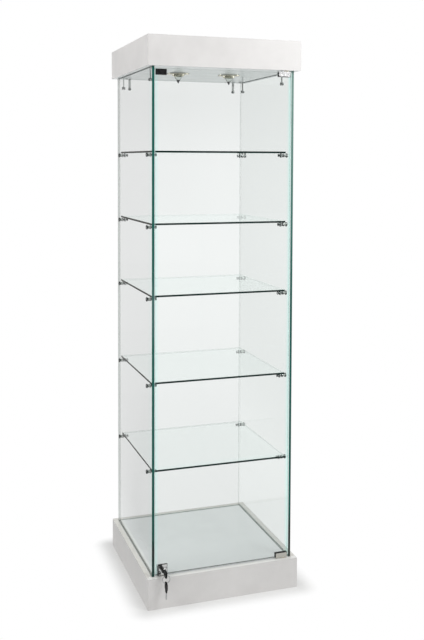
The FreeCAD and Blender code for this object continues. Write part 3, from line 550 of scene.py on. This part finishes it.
def paneGlass(name, own):
    pane = {**glassLook, **own}
    material, tree = emptyMaterial(name)
    source = addNode(tree, "ShaderNodeTexCoord")
    place = axes(tree, source.outputs["Object"])
    facing = axes(tree, source.outputs["Normal"])
    ground = calc(tree, "LESS_THAN", calc(tree, "ABSOLUTE", facing[pane["across"]]), pane["edgeUpTo"])
    weight = addNode(tree, "ShaderNodeLayerWeight")
    weight.inputs["Blend"].default_value = 0.5
    tint = blendColour(tree, weight.outputs["Facing"], pane["tint"], pane["grazeTint"])
    # painted shade by height: the view through the glass is darkened most near the plinth and the canopy
    paintedShadeByHeight = colourRamp(tree, [(at, (level, level, level, 1)) for at, level in pane["paintedShadeByHeight"]])
    height = spread(tree, place[2], 0.0, 1.0, *pane["span"])
    tree.links.new(height, paintedShadeByHeight.inputs[0])
    tint = blendColour(tree, 1.0, tint, paintedShadeByHeight.outputs[0], "MULTIPLY")
    for axis, edge, way, reach in pane.get("fringe", ()):
        away = calc(tree, "MULTIPLY", calc(tree, "SUBTRACT", place[axis], edge), way)
        close = spread(tree, away, 1.0, 0.0, 0.0, reach * mm)
        tint = blendColour(tree, close, tint, pane["fringeTint"])
    seen = seenRay(tree)[2]
    clear = addNode(tree, "ShaderNodeBsdfTransparent")
    cast = blendColour(tree, seen, pane["castTint"], tint)  # lamps shine through
    tree.links.new(cast, clear.inputs["Color"])
    mirror = addNode(tree, "ShaderNodeBsdfGlossy")
    mirror.inputs["Color"].default_value = pane["mirrorTint"]
    mirror.inputs["Roughness"].default_value = pane["mirrorRough"]
    fresnel = addNode(tree, "ShaderNodeFresnel")
    fresnel.inputs["IOR"].default_value = pane["mirrorIor"]
    geometry = addNode(tree, "ShaderNodeNewGeometry")
    entering = calc(tree, "SUBTRACT", 1.0, geometry.outputs["Backfacing"])
    shine = calc(tree, "MULTIPLY", calc(tree, "MULTIPLY", fresnel.outputs[0], entering), seen)
    face = mixShader(tree, shine, clear.outputs[0], mirror.outputs[0])
    # the normal turns to the viewer inside the glass, and is turned back here
    turned = spread(tree, geometry.outputs["Backfacing"], 1.0, -1.0)
    outward = [calc(tree, "MULTIPLY", side, turned) for side in facing]
    # edge colours over the glass's own green: pale rest edges are painted reflection, the door's pale side
    # edges a painted highlight, the dark level edges painted shade
    colour, solid = pane["rest"], pane["restSolid"]
    for edge, axis, way in (("left", 0, -1.0), ("right", 0, 1.0), ("level", 2, pane.get("levelSide"))):
        if edge in pane:
            on = calc(tree, "GREATER_THAN", calc(tree, "MULTIPLY", outward[axis], way), 0.5)
            colour = blendColour(tree, on, colour, pane[edge])
            solid = spread(tree, on, solid, pane[edge + "Solid"])
    # front edges follow the ramp by height: the glass's own green with painted light and shade bands
    if "front" in pane:
        ramp = colourRamp(tree, pane["front"])
        tree.links.new(height, ramp.inputs[0])
        onFront = calc(tree, "LESS_THAN", outward[1], -0.5)
        colour = blendColour(tree, onFront, colour, ramp.outputs[0])
        solid = calc(tree, "MAXIMUM", onFront, solid)
    grit = speckle(tree, source.outputs["Object"], pane["grit"], 3.0)
    worn = spread(tree, grit, 0.0, pane["gritShare"], *cloudBand)
    colour = blendColour(tree, worn, colour, pane["gritGrey"], "MULTIPLY")
    ground = calc(tree, "MULTIPLY", ground, solid)
    satin = addNode(tree, "ShaderNodeBsdfPrincipled")
    satin.inputs["Specular IOR Level"].default_value = pane["edgeGloss"]
    satin.inputs["Roughness"].default_value = pane["edgeRough"]
    tree.links.new(colour, satin.inputs["Base Color"])
    finishTree(tree, mixShader(tree, ground, face, satin.outputs[0]))
    return material


for pane in panes:
    materials[pane] = paneGlass("glass_" + pane, panes[pane])

# the drop's dark rim colour is painted shade at its grazing sides
lampGlass = {
    "tint": (0.975, 0.985, 0.975, 1), "rim": (0.10, 0.105, 0.09, 1), "rimFrom": (0.5, 0.85), "rimShare": 0.85,
    "rimRough": 0.08, "ripple": 420.0, "haze": 0.06}


def lampGlassFinish():
    material, tree = emptyMaterial("lamp_glass")
    coords = addNode(tree, "ShaderNodeTexCoord").outputs["Object"]
    clear = addNode(tree, "ShaderNodeBsdfTransparent")
    clear.inputs["Color"].default_value = lampGlass["tint"]
    rim = addNode(tree, "ShaderNodeBsdfPrincipled")
    rim.inputs["Base Color"].default_value = lampGlass["rim"]
    rim.inputs["Roughness"].default_value = lampGlass["rimRough"]
    ripple = speckle(tree, coords, lampGlass["ripple"], 2.0)
    weight = addNode(tree, "ShaderNodeLayerWeight")
    weight.inputs["Blend"].default_value = 0.5
    # painted shade: a dark outline at the drop's grazing sides stands in for what the clear glass refracts
    # there
    edge = spread(tree, weight.outputs["Facing"], 0.0, lampGlass["rimShare"], *lampGlass["rimFrom"])
    haze = spread(tree, ripple, 0.0, lampGlass["haze"], *cloudBand)
    share = calc(tree, "ADD", edge, haze, True)
    finishTree(tree, mixShader(tree, share, clear.outputs[0], rim.outputs[0]))
    return material


materials["lamp_glass"] = lampGlassFinish()
slotOf = {part["node"]: part["material_slot"] for part in frame["record"]["subparts"]}
shelfNames = ["glass_shelf_%d" % level for level in range(1, 6)]
ownFinish = {name: name for name in (
    *panes, "plinth_top_board", "canopy_ceiling_board", "canopy_top_board", "lock_front_plate")}
ownFinish.update({name: "shelf" for name in shelfNames})
# the lock barrel, plug and brackets take the lighter chrome copy: painted light
ownFinish.update({name: "brightChrome" for name in ("lock_barrel", "lock_plug", "canopy_brackets")})
# the upper clamp takes the lighter nickel copy: painted light
ownFinish["upper_hinge_clamp"] = "brightNickel"
for name, node in nodes.items():
    for materialSlot in node.material_slots:
        materialSlot.material = materials[ownFinish.get(name, slotOf[name])]
print("finishes on", len(nodes), "nodes")


turning = {"sharpDeg": 38, "fluteFrom": 4.5}


def turnedMesh(name, profile, segments, recess=None, fluteEvery=0, fluteDepth=0.0, ringed=False):
    # spins (along, radius) points in mm round X; a recess outline is sunk into the last disc
    build = bmesh.new()
    loops = []
    for along, radius in profile:
        loop = []
        for step in range(segments):
            angle = 2 * math.pi * step / segments
            fluted = fluteEvery and step % fluteEvery == 0 and radius > turning["fluteFrom"]
            reach = (radius - (fluteDepth if fluted else 0.0)) * mm
            loop.append(build.verts.new((along * mm, reach * math.cos(angle), reach * math.sin(angle))))
        loops.append(loop)
    pairs = list(zip(loops, loops[1:]))
    if ringed:
        pairs.append((loops[-1], loops[0]))
    for first, second in pairs:
        for step in range(segments):
            after = (step + 1) % segments
            build.faces.new((first[step], first[after], second[after], second[step]))
    if not ringed:
        build.faces.new(loops[0])
        if recess:
            sinkRecess(build, loops[-1], profile[-1][0], recess)
        else:
            build.faces.new(loops[-1])
    bmesh.ops.recalc_face_normals(build, faces=build.faces)
    mesh = bpy.data.meshes.new(name)
    build.to_mesh(mesh)
    build.free()
    mesh.shade_smooth()
    mesh.set_sharp_from_angle(angle=math.radians(turning["sharpDeg"]))
    return mesh


def sinkRecess(build, loop, along, recess):
    mouth = [build.verts.new((along * mm, y * mm, z * mm)) for y, z in recess["outline"]]
    floor = [build.verts.new(((along - recess["depth"]) * mm, y * mm, z * mm)) for y, z in recess["outline"]]
    edges = [build.edges.get(ends) or build.edges.new(ends) for ends in zip(loop, loop[1:] + loop[:1])]
    edges += [build.edges.new(ends) for ends in zip(mouth, mouth[1:] + mouth[:1])]
    bmesh.ops.triangle_fill(build, edges=edges, use_beauty=True)
    for step in range(len(mouth)):
        after = (step + 1) % len(mouth)
        build.faces.new((mouth[step], mouth[after], floor[after], floor[step]))
    build.faces.new(floor)


def crossOutline(arm, half):
    quarter = [(arm, -half), (arm, half), (half, half)]
    points = []
    for turn in range(4):
        points += quarter
        quarter = [(-z, y) for y, z in quarter]
    return points


def hexOutline(radius):
    angles = [math.radians(60 * corner) for corner in range(6)]
    return [(radius * math.cos(angle), radius * math.sin(angle)) for angle in angles]


def fittingTree():
    tree = bpy.data.node_groups.new("fittingSet", "GeometryNodeTree")
    sockets = tree.interface
    sockets.new_socket("Spots", in_out="INPUT", socket_type="NodeSocketGeometry")
    sockets.new_socket("Fitting", in_out="INPUT", socket_type="NodeSocketObject")
    size = sockets.new_socket("Size", in_out="INPUT", socket_type="NodeSocketFloat")
    size.default_value = 1.0
    sockets.new_socket("Finish", in_out="INPUT", socket_type="NodeSocketMaterial")
    sockets.new_socket("Set", in_out="OUTPUT", socket_type="NodeSocketGeometry")
    start = addNode(tree, "NodeGroupInput")
    fitting = addNode(tree, "GeometryNodeObjectInfo")
    turn = addNode(tree, "GeometryNodeInputNamedAttribute", data_type="FLOAT_VECTOR")
    turn.inputs["Name"].default_value = "turn"
    rotation = addNode(tree, "FunctionNodeEulerToRotation")
    placed = addNode(tree, "GeometryNodeInstanceOnPoints")
    real = addNode(tree, "GeometryNodeRealizeInstances")
    painted = addNode(tree, "GeometryNodeSetMaterial")
    end = addNode(tree, "NodeGroupOutput")
    tree.links.new(start.outputs["Spots"], placed.inputs["Points"])
    tree.links.new(start.outputs["Fitting"], fitting.inputs["Object"])
    tree.links.new(fitting.outputs["Geometry"], placed.inputs["Instance"])
    tree.links.new(turn.outputs["Attribute"], rotation.inputs[0])
    tree.links.new(rotation.outputs[0], placed.inputs["Rotation"])
    tree.links.new(start.outputs["Size"], placed.inputs["Scale"])
    tree.links.new(placed.outputs[0], real.inputs[0])
    tree.links.new(real.outputs[0], painted.inputs["Geometry"])
    tree.links.new(start.outputs["Finish"], painted.inputs["Material"])
    tree.links.new(painted.outputs[0], end.inputs[0])
    return tree


def setInputs(modifier, values):
    for item in modifier.node_group.interface.items_tree:
        if item.name in values:
            modifier[item.identifier] = values[item.name]


def settle(piece, slot, body, *replaced):
    # turns the modifiers into a plain mesh and hangs the piece on its body
    bpy.context.view_layer.update()
    shape = piece.evaluated_get(bpy.context.evaluated_depsgraph_get())
    mesh = bpy.data.meshes.new_from_object(shape)
    mesh.name = piece.name
    piece.modifiers.clear()
    piece.data = mesh
    if not mesh.materials:
        mesh.materials.append(materials[slot])
    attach(piece, body)
    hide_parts(*replaced)
    print(piece.name, len(mesh.polygons), "faces on", body)


fittingSet = fittingTree()


def placeFittings(name, shape, spots, slot, body, *replaced):
    fitting = bpy.data.objects.new(name + "Pattern", shape)
    scene.collection.objects.link(fitting)
    points = bpy.data.meshes.new(name)
    points.from_pydata([spot for spot, turn in spots], [], [])
    turns = points.attributes.new("turn", "FLOAT_VECTOR", "POINT")
    for entry, (spot, turn) in zip(turns.data, spots):
        entry.vector = turn
    piece = bpy.data.objects.new(name, points)
    scene.collection.objects.link(piece)
    modifier = piece.modifiers.new("set", "NODES")
    modifier.node_group = fittingSet
    setInputs(modifier, {"Fitting": fitting, "Size": 1.0, "Finish": materials[slot]})
    settle(piece, slot, body, *replaced)
    bpy.data.objects.remove(fitting)


toRight, toLeft, toFront, toBack, toFloor = (
    (0, 0, 0), (0, 0, math.pi), (0, 0, -math.pi / 2), (0, 0, math.pi / 2), (0, math.pi / 2, 0))

# shelf studs: collar, neck, grooved seat, neck and tip, turned about an axis across the side glass
studs = {
    "inside": 0.230,
    "outside": 0.238,
    "rows": (-0.181, 0.206),
    "belowShelf": 0.007,
    "stud": ((-10.6, 3.0), (0.5, 3.0), (0.5, 5.5), (0.9, 6.0), (4.1, 6.0), (4.5, 5.6), (4.6, 3.6),
             (4.8, 3.4), (8.8, 3.4), (9.0, 3.6), (9.0, 6.4), (9.3, 6.7), (9.9, 6.7), (10.2, 6.4), (10.2, 5.6),
             (12.8, 5.6), (12.8, 6.4), (13.1, 6.7), (13.7, 6.7), (14.0, 6.4), (14.0, 3.6), (14.2, 3.4),
             (18.3, 3.4), (18.5, 3.6), (18.5, 4.7), (18.8, 5.0), (20.5, 5.0), (21.2, 4.85), (21.7, 4.4),
             (22.0, 3.5)),
    "studSides": 32,
    "cap": ((0.0, 7.0), (2.2, 7.0), (3.0, 6.83), (3.7, 6.32), (4.1, 5.62), (4.2, 5.0)),
    "capSides": 30,
    "capSocket": {"outline": hexOutline(2.4), "depth": 1.2},
}
shelfFeet = [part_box(name)[0].z for name in shelfNames]
studSpots, capSpots = [], []
for y, z in [(row, foot - studs["belowShelf"]) for foot in shelfFeet for row in studs["rows"]]:
    studSpots += [((-studs["inside"], y, z), toRight), ((studs["inside"], y, z), toLeft)]
    capSpots += [((-studs["outside"], y, z), toLeft), ((studs["outside"], y, z), toRight)]
studShape = turnedMesh("stud", studs["stud"], studs["studSides"])
placeFittings("turnedStuds", studShape, studSpots, "polished_chrome", "case", "shelf_studs")
capShape = turnedMesh("cap", studs["cap"], studs["capSides"], studs["capSocket"])
placeFittings("socketCaps", capShape, capSpots, "polished_chrome", "case", "stud_caps")

# bracket fixings: fluted knobs that clamp the straps to the glass, pan-head screws up into the ceiling
fixings = {
    "inside": 0.230,
    "knobLevel": 1.669,
    "screwLevel": 1.703,
    "screwReach": 0.016,
    "backAcross": 0.197,
    "sideAlong": (-0.168, 0.198),
    "knob": ((0.0, 4.7), (0.3, 5.0), (3.7, 5.0), (4.0, 4.7), (4.0, 2.0), (6.0, 2.0), (6.0, 4.6), (6.4, 5.0),
             (9.0, 5.0), (9.7, 4.6), (10.0, 3.8)),
    "knobSides": 48,
    "fluteEvery": 2,
    "fluteDepth": 0.3,
    "screw": ((-14.0, 0.4), (-12.5, 1.6), (0.0, 1.6), (0.0, 3.2), (0.6, 3.15), (1.2, 2.8), (1.6, 2.1)),
    "screwSides": 24,
    "screwCross": {"outline": crossOutline(1.7, 0.35), "depth": 0.9},
}
backPair = (-fixings["backAcross"], fixings["backAcross"])
straps = [((x, fixings["inside"]), toFront, (0, -1)) for x in backPair]
for y in fixings["sideAlong"]:
    straps += [((-fixings["inside"], y), toRight, (1, 0)), ((fixings["inside"], y), toLeft, (-1, 0))]
knobSpots = [((*spot, fixings["knobLevel"]), turn) for spot, turn, inward in straps]
screwSpots = [((spot[0] + inward[0] * fixings["screwReach"], spot[1] + inward[1] * fixings["screwReach"],
                fixings["screwLevel"]), toFloor) for spot, turn, inward in straps]
knobShape = turnedMesh(
    "knob", fixings["knob"], fixings["knobSides"], fluteEvery=fixings["fluteEvery"],
    fluteDepth=fixings["fluteDepth"])
placeFittings("flutedKnobs", knobShape, knobSpots, "polished_chrome", "case", "bracket_knobs")
screwShape = turnedMesh("screw", fixings["screw"], fixings["screwSides"], fixings["screwCross"])
placeFittings("panScrews", screwShape, screwSpots, "polished_chrome", "case", "bracket_screws")

# ceiling lights: dished bezel with a rolled collar, hollow glass drop and its pointed tip
lights = {
    "bezel": ((0.0, 36.9), (0.4, 37.3), (1.1, 37.5), (1.8, 37.3), (2.4, 36.7), (2.9, 35.4), (3.4, 32.5),
              (3.9, 29.0), (4.4, 25.0), (4.8, 22.6), (4.6, 21.9), (5.0, 21.3), (5.8, 21.1), (6.8, 20.4),
              (8.0, 19.0), (8.8, 17.9), (9.0, 17.0), (8.9, 15.6), (8.4, 14.5), (7.6, 14.1), (0.0, 14.1)),
    "bezelRadius": 0.0375,
    "bezelSides": 72,
    "drop": ((0.0, 14.0), (9.0, 14.0), (9.8, 13.8), (10.6, 13.2), (21.0, 6.8), (21.0, 5.2), (10.2, 11.8),
             (9.2, 12.3), (0.0, 12.4)),
    "dropSides": 48,
    "tip": ((21.0, 6.2), (21.4, 6.7), (22.2, 6.5), (31.6, 1.3), (32.2, 1.0), (32.5, 0.6)),
    "tipSides": 36,
}
bezelLow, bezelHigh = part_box("lamp_bezels")
lightSpots = [((x, (bezelLow.y + bezelHigh.y) / 2, bezelHigh.z), toFloor)
              for x in (bezelLow.x + lights["bezelRadius"], bezelHigh.x - lights["bezelRadius"])]
bezelShape = turnedMesh("bezel", lights["bezel"], lights["bezelSides"], ringed=True)
placeFittings("dishedBezels", bezelShape, lightSpots, "bronzed_metal", "case", "lamp_bezels")
dropShape = turnedMesh("drop", lights["drop"], lights["dropSides"], ringed=True)
placeFittings("glassDrops", dropShape, lightSpots, "lamp_glass", "case", "lamp_drops")
tipShape = turnedMesh("tip", lights["tip"], lights["tipSides"])
placeFittings("pointedTips", tipShape, lightSpots, "dark_metal", "case", "lamp_spikes")

# lock and hinge screws
doorScrews = {
    "lock": ((-17.0, 0.6), (-16.2, 1.5), (-1.5, 1.5), (-0.2, 2.85), (0.0, 2.9)),
    "lockSides": 28,
    "lockInset": 0.003,
    "lockCross": {"outline": crossOutline(1.6, 0.35), "depth": 0.9},
    "lockPlateFront": -0.2415,
    "hinge": ((0.0, 1.6), (0.4, 2.0), (3.1, 2.0), (3.4, 1.75)),
    "hingeSides": 24,
    "hingeSocket": {"outline": hexOutline(1.15), "depth": 1.4},
    "hingeRadius": 0.002,
}
screwLow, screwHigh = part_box("lock_screws")
inset = doorScrews["lockInset"]
lockSpots = [((screwLow.x + inset, doorScrews["lockPlateFront"], screwLow.z + inset), toFront),
             ((screwHigh.x - inset, doorScrews["lockPlateFront"], screwHigh.z - inset), toFront)]
lockScrew = turnedMesh(
    "lockScrew", doorScrews["lock"], doorScrews["lockSides"], doorScrews["lockCross"])
placeFittings("lockPlateScrews", lockScrew, lockSpots, "plain_steel", "door", "lock_screws")
screwLow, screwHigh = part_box("hinge_screws")
inset = doorScrews["hingeRadius"]
hingeSpots = [((x, screwLow.y, z), toBack) for x in (screwLow.x + inset, screwHigh.x - inset)
              for z in (screwLow.z + inset, screwHigh.z - inset)]
clampScrew = turnedMesh(
    "clampScrew", doorScrews["hinge"], doorScrews["hingeSides"], doorScrews["hingeSocket"])
placeFittings("clampScrews", clampScrew, hingeSpots, "plain_steel", "door", "hinge_screws")

# split key ring: a flat wire wound twice round
keyRing = {
    "radius": 12.0, "wireAcross": 0.9, "wireAlong": 0.42, "turns": 1.98, "pitch": 0.9, "steps": 72,
    "sides": 14}


def ringTree():
    tree = bpy.data.node_groups.new("splitRing", "GeometryNodeTree")
    sockets = tree.interface
    sockets.new_socket("Start", in_out="INPUT", socket_type="NodeSocketGeometry")
    for name in ("Radius", "Wire across", "Wire along", "Turns", "Pitch"):
        sockets.new_socket(name, in_out="INPUT", socket_type="NodeSocketFloat")
    sockets.new_socket("Centre", in_out="INPUT", socket_type="NodeSocketVector")
    sockets.new_socket("Finish", in_out="INPUT", socket_type="NodeSocketMaterial")
    sockets.new_socket("Ring", in_out="OUTPUT", socket_type="NodeSocketGeometry")
    start = addNode(tree, "NodeGroupInput")
    spiral = addNode(tree, "GeometryNodeCurveSpiral")
    spiral.inputs["Resolution"].default_value = keyRing["steps"]
    tree.links.new(start.outputs["Turns"], spiral.inputs["Rotations"])
    tree.links.new(start.outputs["Radius"], spiral.inputs["Start Radius"])
    tree.links.new(start.outputs["Radius"], spiral.inputs["End Radius"])
    tree.links.new(start.outputs["Pitch"], spiral.inputs["Height"])
    section = addNode(tree, "GeometryNodeCurvePrimitiveCircle")
    section.inputs["Resolution"].default_value = keyRing["sides"]
    section.inputs["Radius"].default_value = 1.0
    squash = addNode(tree, "GeometryNodeTransform")
    size = addNode(tree, "ShaderNodeCombineXYZ")
    tree.links.new(start.outputs["Wire across"], size.inputs[0])
    tree.links.new(start.outputs["Wire along"], size.inputs[1])
    tree.links.new(section.outputs["Curve"], squash.inputs["Geometry"])
    tree.links.new(size.outputs[0], squash.inputs["Scale"])
    wound = addNode(tree, "GeometryNodeCurveToMesh")
    wound.inputs["Fill Caps"].default_value = True
    tree.links.new(spiral.outputs[0], wound.inputs["Curve"])
    tree.links.new(squash.outputs[0], wound.inputs["Profile Curve"])
    upright = addNode(tree, "GeometryNodeTransform")
    upright.inputs["Rotation"].default_value = (math.pi / 2, 0, 0)
    tree.links.new(wound.outputs[0], upright.inputs["Geometry"])
    tree.links.new(start.outputs["Centre"], upright.inputs["Translation"])
    real = addNode(tree, "GeometryNodeRealizeInstances")
    painted = addNode(tree, "GeometryNodeSetMaterial")
    end = addNode(tree, "NodeGroupOutput")
    tree.links.new(upright.outputs[0], real.inputs[0])
    tree.links.new(real.outputs[0], painted.inputs["Geometry"])
    tree.links.new(start.outputs["Finish"], painted.inputs["Material"])
    tree.links.new(painted.outputs[0], end.inputs[0])
    return tree


def makeKeyRing():
    ringLow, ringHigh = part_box("key_ring")
    middle = (ringLow + ringHigh) / 2
    middle.y += keyRing["pitch"] * mm / 2
    piece = bpy.data.objects.new("splitRing", bpy.data.meshes.new("splitRing"))
    scene.collection.objects.link(piece)
    modifier = piece.modifiers.new("ring", "NODES")
    modifier.node_group = ringTree()
    setInputs(modifier, {
        "Radius": keyRing["radius"] * mm, "Wire across": keyRing["wireAcross"] * mm,
        "Wire along": keyRing["wireAlong"] * mm, "Turns": keyRing["turns"], "Pitch": keyRing["pitch"] * mm,
        "Centre": tuple(middle), "Finish": materials["plain_steel"]})
    settle(piece, "plain_steel", "ring", "key_ring")


makeKeyRing()

# moulded key bows: rounded head with a sunk face on both sides, and a neck
bow = {
    "length": 27.0, "halfWidth": 12.0, "corner": 9.0, "neckEnd": 33.0, "neckHalf": 6.0, "thick": 3.6,
    "holeAt": 5.4, "holeRadius": 3.2, "holeSteps": 28, "border": 2.0, "slope": 0.3, "sink": 0.45, "steps": 10,
    "edge": 0.6, "edgeSteps": 2, "edgeDeg": 50}


def bowOutline():
    corner, width = bow["corner"], bow["halfWidth"]
    inner = width - corner
    meet = math.asin((bow["neckHalf"] - inner) / corner)
    near = bow["length"] - corner
    lower = [(near + corner * math.cos(a), -inner - corner * math.sin(a))
             for a in [meet + (math.pi / 2 - meet) * i / bow["steps"] for i in range(bow["steps"] + 1)]]
    lower += [(corner - corner * math.sin(a), -inner - corner * math.cos(a))
              for a in [math.pi / 2 * i / bow["steps"] for i in range(bow["steps"] + 1)]]
    lower.insert(0, (bow["neckEnd"], -bow["neckHalf"]))
    return lower + [(along, -across) for along, across in reversed(lower)]


def bowMesh(name):
    # lies in the YZ plane, with the ring end at the origin and the neck along Y
    build = bmesh.new()
    half = bow["thick"] / 2
    angles = [2 * math.pi * step / bow["holeSteps"] for step in range(bow["holeSteps"])]
    hole = [(bow["holeAt"] + bow["holeRadius"] * math.cos(angle), bow["holeRadius"] * math.sin(angle))
            for angle in angles]
    edges = []
    for outline in (bowOutline(), hole):
        loop = [build.verts.new((-half * mm, y * mm, z * mm)) for y, z in outline]
        edges += [build.edges.new((a, b)) for a, b in zip(loop, loop[1:] + loop[:1])]
    flat = bmesh.ops.triangle_fill(build, edges=edges, use_beauty=True)["geom"]
    flat = [face for face in flat if isinstance(face, bmesh.types.BMFace)]
    raised = bmesh.ops.extrude_face_region(build, geom=flat)["geom"]
    top = [face for face in raised if isinstance(face, bmesh.types.BMFace)]
    bmesh.ops.translate(build, vec=(bow["thick"] * mm, 0, 0),
                        verts=[vert for vert in raised if isinstance(vert, bmesh.types.BMVert)])
    bmesh.ops.recalc_face_normals(build, faces=build.faces)
    for side in (flat, top):
        bmesh.ops.inset_region(build, faces=side, thickness=bow["border"] * mm, use_even_offset=True)
        bmesh.ops.inset_region(build, faces=side, thickness=bow["slope"] * mm, depth=-bow["sink"] * mm,
                               use_even_offset=True)
    mesh = bpy.data.meshes.new(name)
    build.to_mesh(mesh)
    build.free()
    return mesh


def makeBow(name, node, body, hanging):
    mesh = bowMesh(name)
    bowLow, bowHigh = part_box(node)
    middle = (bowLow + bowHigh) / 2
    for vert in mesh.vertices:
        x, y, z = vert.co
        if hanging:
            vert.co = (middle.x + x, middle.y + z, bowHigh.z - y)
        else:
            vert.co = (middle.x + x, bowLow.y + y, middle.z + z)
    piece = bpy.data.objects.new(name, mesh)
    scene.collection.objects.link(piece)
    soft = piece.modifiers.new("edge", "BEVEL")
    soft.width = bow["edge"] * mm
    soft.segments = bow["edgeSteps"]
    soft.limit_method = "ANGLE"
    soft.angle_limit = math.radians(bow["edgeDeg"])
    settle(piece, "black_plastic", body, node)


makeBow("keyBow", "key_bow", "key", False)
makeBow("spareBow", "spare_key_bow", "spare_key", True)
print("pieces ready")
